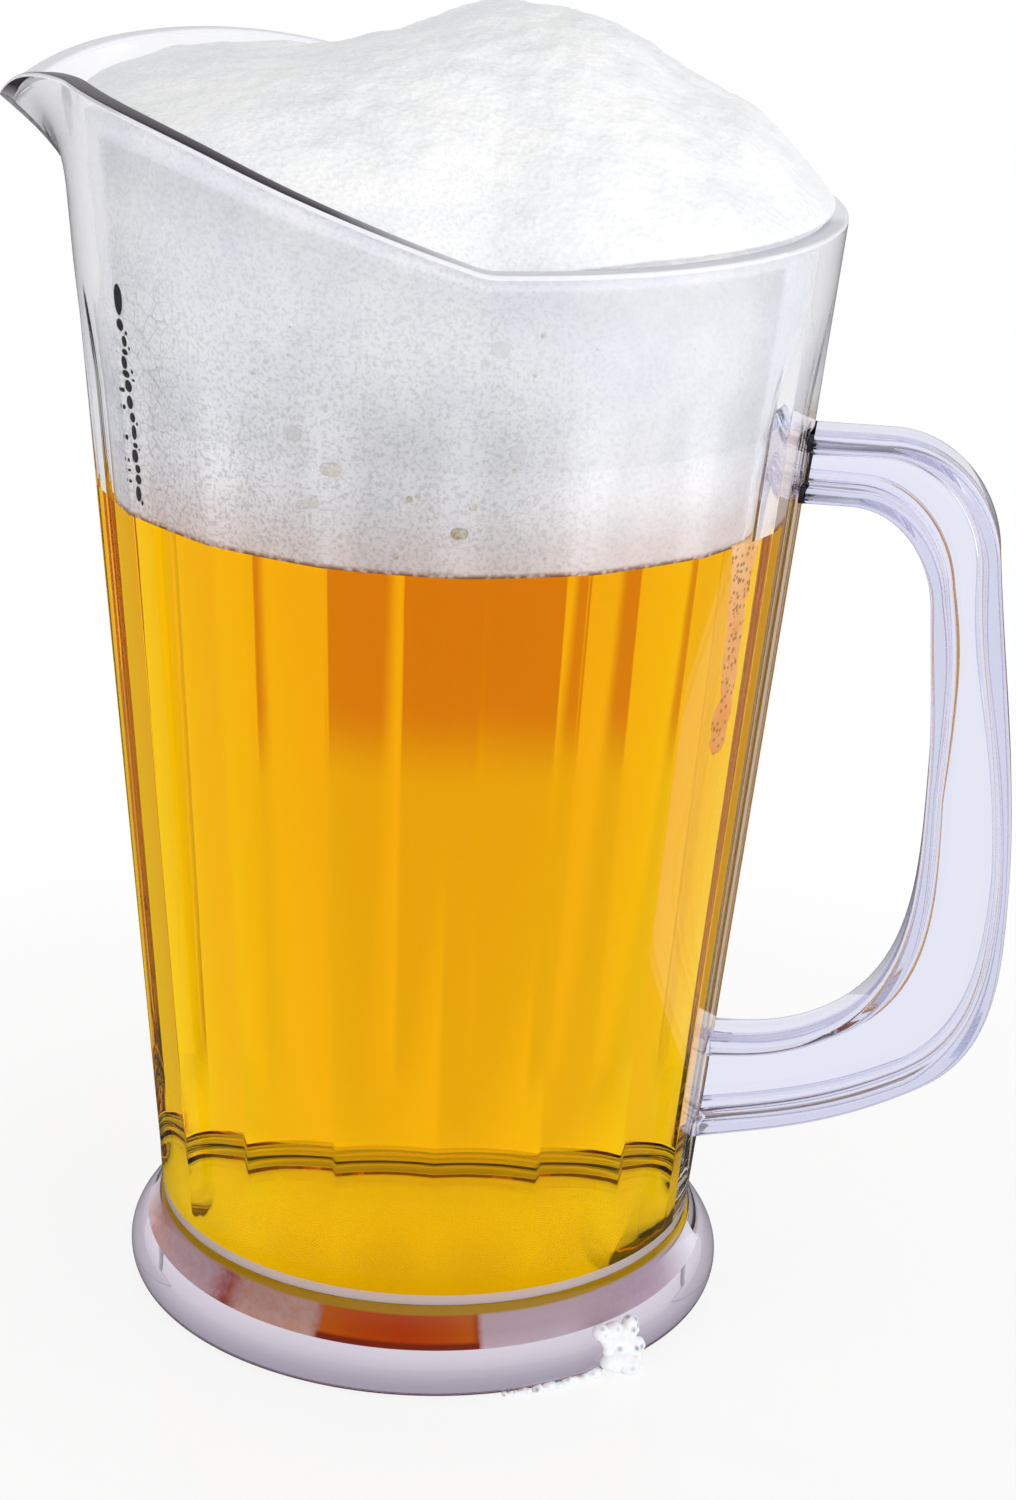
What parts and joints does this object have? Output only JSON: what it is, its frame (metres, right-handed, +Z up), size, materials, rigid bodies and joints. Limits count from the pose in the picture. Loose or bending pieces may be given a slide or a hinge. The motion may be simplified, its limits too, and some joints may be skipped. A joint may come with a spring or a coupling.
{
  "type": "pitcher",
  "caption": "Clear moulded plastic beer pitcher with flat outer panels, pouring beak, I-section loop handle and flared foot, filled with amber beer under a domed foam head.",
  "frame": {"origin": "on the table, under the middle of the overall length and width", "axes": "+Z up, +X towards the handle, -X towards the pouring beak, and the X-Z plane is the plane of symmetry"},
  "size_m": [0.1934, 0.1408, 0.2476],
  "materials": {
    "clear_plastic": "polished",
    "beer": "polished",
    "beer_foam": "matte"
  },
  "bodies": {
    "root": {"vessel": "clear_plastic", "foot_ring": "clear_plastic", "handle": "clear_plastic", "beer": "beer", "foam_head": "beer_foam"}
  },
  "joints": []
}
